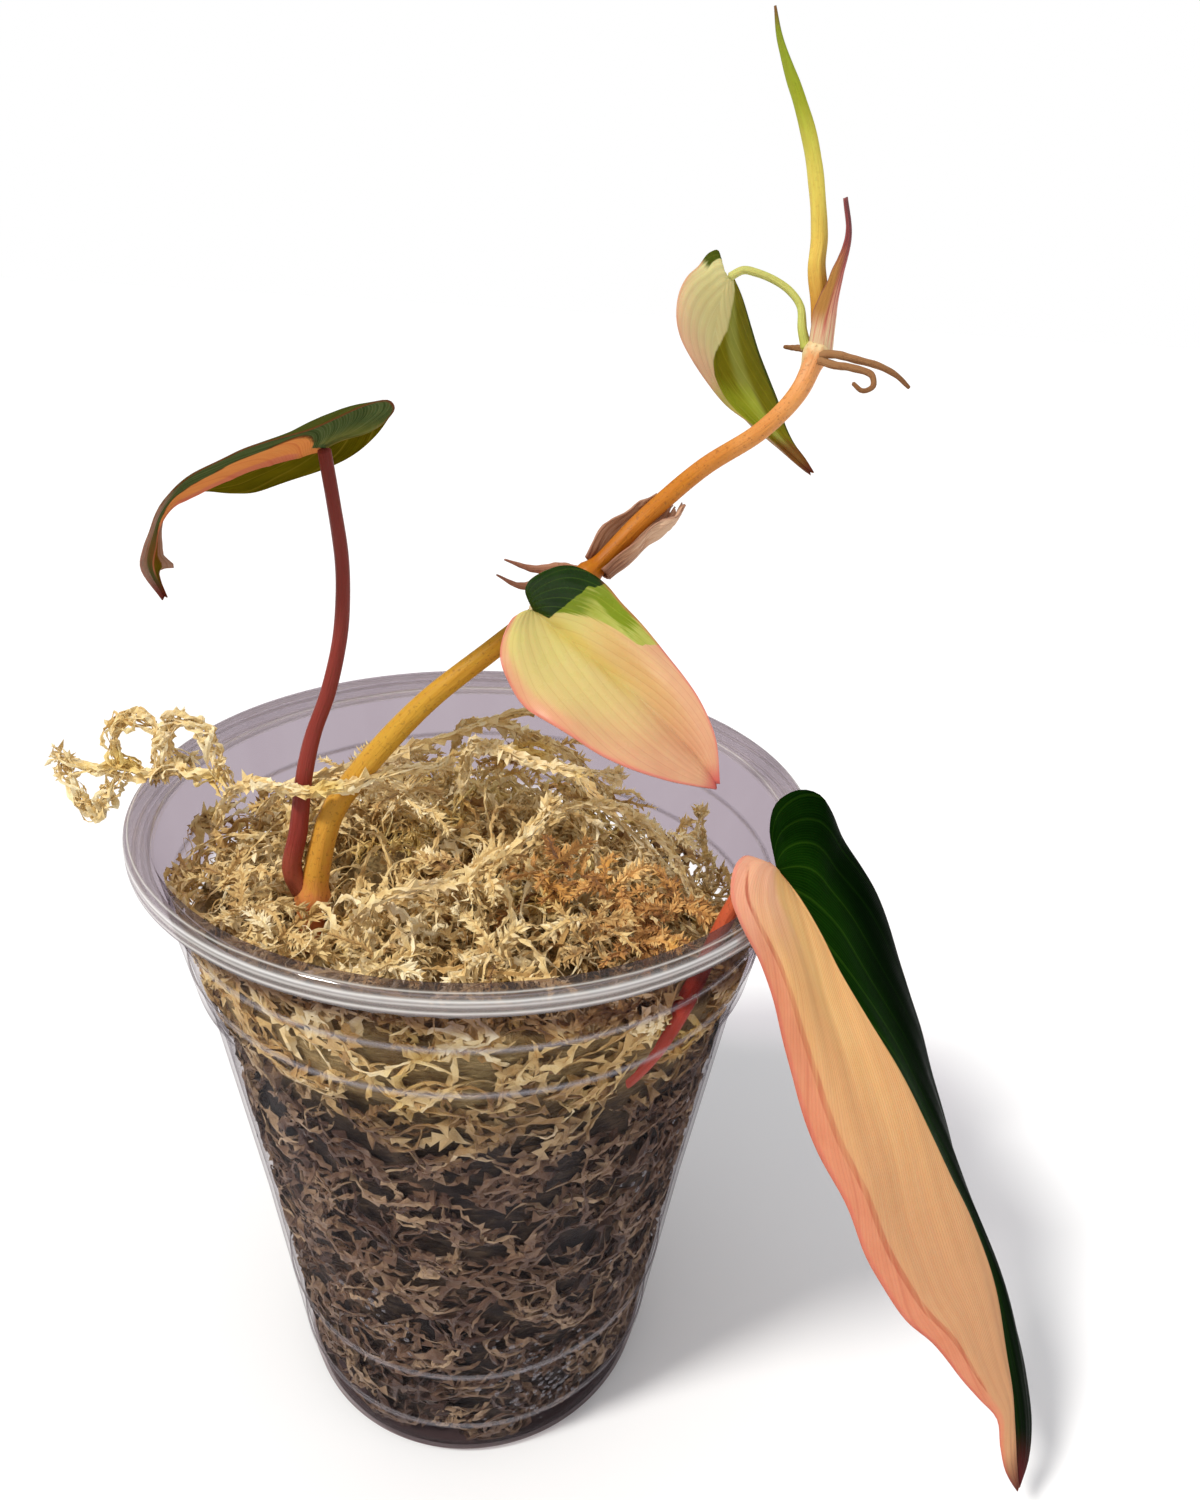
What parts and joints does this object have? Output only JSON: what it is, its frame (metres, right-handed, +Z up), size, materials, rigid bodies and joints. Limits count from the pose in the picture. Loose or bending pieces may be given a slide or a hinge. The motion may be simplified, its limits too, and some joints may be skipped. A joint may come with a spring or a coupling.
{
  "type": "potted philodendron cutting",
  "caption": "Climbing philodendron cutting with pink, cream and green heart-shaped leaves, growing out of dried moss in a clear tapered drinking cup.",
  "frame": {"origin": "middle of the cup's flat underside, on the surface that it stands on", "axes": "+Z up along the cup's axis; +Y away from the front, so that the left leaf is towards -X and the hanging leaf towards +X and -Y"},
  "size_m": [0.1493, 0.098, 0.2095],
  "materials": {
    "cup_plastic": "clear, glossy, thin-walled",
    "moss": "dry, fibrous, straw to brown",
    "stem": "living stem, satin, yellow to orange",
    "leaf_left": "velvety grey-green with a peach sector",
    "leaf_middle": "satin cream, pink and dark green",
    "leaf_upper": "satin cream and light green",
    "leaf_hanging": "velvety dark green and peach halves",
    "new_leaf": "satin yellow-green",
    "pink_sheath": "soft pink with pale streaks",
    "dry_sheath": "dry, papery, streaked"
  },
  "bodies": {
    "root": {"cup": "cup_plastic", "moss_bed": "moss", "moss_strand_rim": "moss", "vine_stem": "stem", "leaf_left": "leaf_left", "leaf_middle": "leaf_middle", "leaf_upper": "leaf_upper", "leaf_hanging": "leaf_hanging", "new_leaf_spear": "new_leaf", "sheath_upper": "pink_sheath", "sheath_middle": "dry_sheath", "dry_points": "dry_sheath"}
  },
  "joints": []
}
